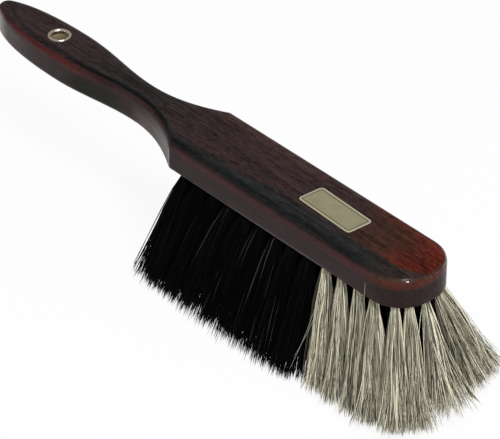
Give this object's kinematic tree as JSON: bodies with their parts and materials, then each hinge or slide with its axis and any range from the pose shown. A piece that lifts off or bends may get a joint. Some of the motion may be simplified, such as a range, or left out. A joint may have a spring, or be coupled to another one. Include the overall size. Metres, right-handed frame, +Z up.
{
  "type": "hand broom",
  "caption": "Hand broom: a shaped, lacquered wooden handle and block in one piece, with a brass hang eyelet, a blank label, black hair tufts and a fan of light hair tufts round the nose.",
  "frame": {"origin": "centre of the object's footprint, on the surface that the bristle tips stand on", "axes": "+X runs along the broom from the handle's tip to the nose, +Z is up, out of the back's top face, and +Y completes the right-handed frame"},
  "size_m": [0.3574, 0.0866, 0.0783],
  "materials": {
    "wood": "gloss",
    "brass": "satin",
    "label": "satin",
    "light_hair": "matte",
    "black_hair": "satin",
    "wire": "satin"
  },
  "bodies": {
    "root": {"black_tuft_anchors": "wire", "black_tuft_rank_01": "black_hair", "black_tuft_rank_02": "black_hair", "black_tuft_rank_03": "black_hair", "black_tuft_rank_04": "black_hair", "black_tuft_rank_05": "black_hair", "black_tuft_rank_06": "black_hair", "black_tuft_rank_07": "black_hair", "black_tuft_rank_08": "black_hair", "black_tuft_rank_09": "black_hair", "black_tuft_rank_10": "black_hair", "black_tuft_rank_11": "black_hair", "black_tuft_rank_12": "black_hair", "black_tuft_rank_13": "black_hair", "black_tuft_rank_14": "black_hair", "black_tuft_rank_15": "black_hair", "black_tuft_rank_16": "black_hair", "black_tuft_rank_17": "black_hair", "black_tuft_rank_18": "black_hair", "black_tuft_rank_19": "black_hair", "black_tuft_rank_20": "black_hair", "black_tuft_rank_21": "black_hair", "black_tuft_rank_22": "black_hair", "black_tuft_rank_23": "black_hair", "black_tuft_rank_24": "black_hair", "black_tuft_rank_25": "black_hair", "hang_eyelet": "brass", "light_tuft_01": "light_hair", "light_tuft_02": "light_hair", "light_tuft_03": "light_hair", "light_tuft_04": "light_hair", "light_tuft_05": "light_hair", "light_tuft_06": "light_hair", "light_tuft_07": "light_hair", "light_tuft_08": "light_hair", "light_tuft_09": "light_hair", "light_tuft_10": "light_hair", "light_tuft_11": "light_hair", "light_tuft_12": "light_hair", "light_tuft_13": "light_hair", "light_tuft_anchors": "wire", "paper_label": "label", "wooden_back": "wood"}
  },
  "joints": []
}
